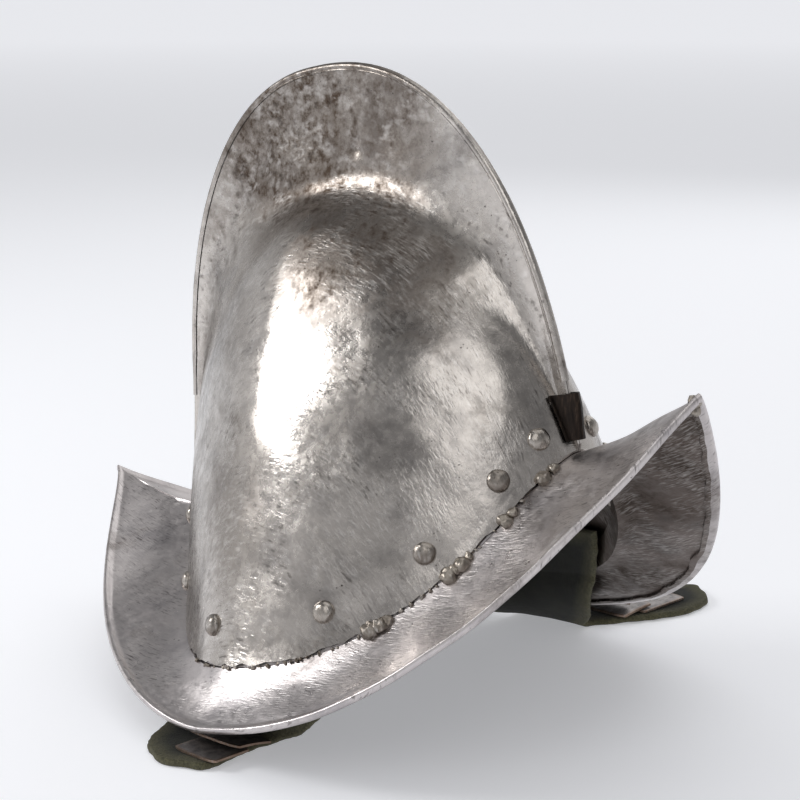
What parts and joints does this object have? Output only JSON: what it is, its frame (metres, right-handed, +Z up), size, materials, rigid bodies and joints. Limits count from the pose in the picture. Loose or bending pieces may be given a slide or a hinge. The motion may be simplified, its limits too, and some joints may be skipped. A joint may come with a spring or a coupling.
{
  "type": "morion helmet",
  "caption": "Steel combed helmet with an upswept boat-shaped brim and riveted leather cheekpieces, lying on its folded cheekpieces.",
  "frame": {"origin": "on the floor, under the middle of the bounding box of the lying helmet", "axes": "+Z up from the floor, -Y the way the wearer looks, +X the wearer's left"},
  "size_m": [0.344, 0.3562, 0.2763],
  "materials": {
    "skull_steel": "worn satin with brown patina",
    "brim_steel": "worn satin with pits",
    "rivet_steel": "dull satin",
    "lame_steel": "dark satin with bronze-brown edges",
    "black_iron": "blackened",
    "leather": "matt suede"
  },
  "bodies": {
    "root": {"skull_left": "skull_steel", "skull_right": "skull_steel", "brim": "brim_steel", "comb_bead": "skull_steel", "plume_holder": "black_iron", "cheekpiece_left": "leather", "cheekpiece_right": "leather", "rivet_left_1": "rivet_steel", "rivet_right_1": "rivet_steel", "rivet_left_2": "rivet_steel", "rivet_right_2": "rivet_steel", "rivet_left_3": "rivet_steel", "rivet_right_3": "rivet_steel", "rivet_left_4": "rivet_steel", "rivet_right_4": "rivet_steel", "rivet_left_5": "rivet_steel", "rivet_right_5": "rivet_steel", "rivet_left_6": "rivet_steel", "rivet_right_6": "rivet_steel", "rivet_left_7": "rivet_steel", "rivet_right_7": "rivet_steel", "lame_left_1": "lame_steel", "lame_left_2": "lame_steel", "lame_right_1": "lame_steel", "lame_right_2": "lame_steel", "lame_right_3": "lame_steel"}
  },
  "joints": []
}
